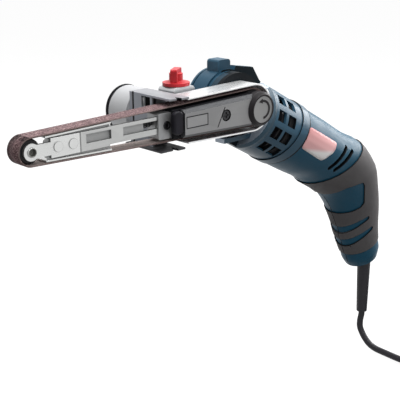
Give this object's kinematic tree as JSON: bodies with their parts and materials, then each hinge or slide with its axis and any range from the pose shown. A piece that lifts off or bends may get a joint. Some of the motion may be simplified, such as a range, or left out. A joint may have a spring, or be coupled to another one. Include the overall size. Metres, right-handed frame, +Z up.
{
  "type": "power file",
  "caption": "Narrow belt sander with a tilting sanding arm, dust hood and port, wing knob clamp, motor housing sloping into a soft pistol grip, and a mains cord.",
  "frame": {"origin": "middle of the hand grip, on the motor's plane", "axes": "X back along the sanding arm, Y away from the arm's cover towards the gear side, Z up"},
  "size_m": [0.5026, 0.1414, 0.3005],
  "materials": {
    "abrasive": "rough grit on cloth",
    "roller_black": "matt",
    "steel": "bright",
    "zinc": "zinc plated",
    "dark_steel": "blackened",
    "core_steel": "stacked sheets",
    "cast_grey": "die cast",
    "bright_alu": "smooth",
    "black_plastic": "moulded",
    "cover_grey": "fine grain",
    "hood_grey": "fine grain",
    "red_plastic": "moulded",
    "blue_metal": "satin paint",
    "blue_plastic": "satin",
    "soft_grip": "soft touch",
    "copper": "bare",
    "carbon": "pressed carbon",
    "cord_black": "matt sheath"
  },
  "bodies": {
    "root": {"gear_head": "blue_metal", "gear_cover": "black_plastic", "gear_cover_screws": "steel", "spindle_bearings": "steel", "bearing_plate": "cast_grey", "front_housing": "blue_plastic", "body_left": "blue_plastic", "body_right": "blue_plastic", "grip_left": "soft_grip", "grip_right": "soft_grip", "body_screws": "dark_steel", "stator_core": "core_steel", "stator_coils": "copper", "motor_bearings": "steel", "end_plate": "black_plastic", "brush_holders": "copper", "carbon_brushes": "carbon", "switch_block": "black_plastic", "cord_clamp": "black_plastic", "inner_cord": "cord_black", "strain_relief": "cord_black", "cord": "cord_black", "cord_coil": "cord_black", "coil_tie": "black_plastic", "plug_body": "cord_black", "plug_pins": "copper"},
    "arm": {"arm_base": "black_plastic", "arm_nose": "black_plastic", "arm_cover": "cover_grey", "cover_screw": "dark_steel", "pulley_cap": "cover_grey", "guide_block": "cast_grey", "block_screw": "dark_steel", "tension_rod": "steel", "tension_spring": "steel", "belt_guard": "bright_alu", "sanding_belt": "abrasive", "dust_hood": "hood_grey", "dust_port": "hood_grey", "port_lip": "black_plastic", "clamp_collar": "cast_grey"},
    "clamp_knob": {"wing_knob": "red_plastic", "clamp_screw": "steel"},
    "front_arm": {"front_bar": "zinc", "platen": "zinc", "platen_rivets": "zinc", "roller_pin": "steel"},
    "roller": {"front_roller": "roller_black"},
    "drive_spindle": {"spindle": "steel", "bevel_gear": "dark_steel", "drive_pulley": "roller_black", "pulley_screw": "steel"},
    "armature": {"motor_shaft": "steel", "pinion": "dark_steel", "cooling_fan": "black_plastic", "armature_core": "core_steel", "commutator": "copper"},
    "switch": {"switch_button": "black_plastic"}
  },
  "joints": [
    {"name": "arm_tilt", "type": "hinge", "parent": "root", "child": "arm", "pos_m": [-0.16, -0.007, 0.134], "axis": [0, 1, 0], "range_deg": [-25, 45]},
    {"name": "clamp_knob_turn", "type": "hinge", "parent": "arm", "child": "clamp_knob", "pos_m": [-0.2098, -0.002, 0.154], "axis": [0, 0, 1], "range_deg": [0, 360]},
    {"name": "belt_release", "type": "slide", "parent": "arm", "child": "front_arm", "axis": [1, 0, 0], "range_m": [0, 0.008], "stiffness_N_per_m": 800, "springref_m": -0.004},
    {"name": "roller_spin", "type": "hinge", "parent": "front_arm", "child": "roller", "pos_m": [-0.35222, -0.023, 0.134], "axis": [0, 1, 0], "continuous": true},
    {"name": "spindle_spin", "type": "hinge", "parent": "root", "child": "drive_spindle", "pos_m": [-0.16, -0.004, 0.134], "axis": [0, 1, 0], "continuous": true},
    {"name": "armature_spin", "type": "hinge", "parent": "root", "child": "armature", "pos_m": [-0.16, 0, 0.134], "axis": [0.8746, 0, -0.4848], "continuous": true},
    {"name": "switch_slide", "type": "slide", "parent": "root", "child": "switch", "axis": [0.8746, 0, -0.4848], "range_m": [0, 0.006]}
  ],
  "couplings": [
    {"joint": "spindle_spin", "follows": "armature_spin", "ratio": -0.42857},
    {"joint": "roller_spin", "follows": "armature_spin", "ratio": -0.69512}
  ]
}
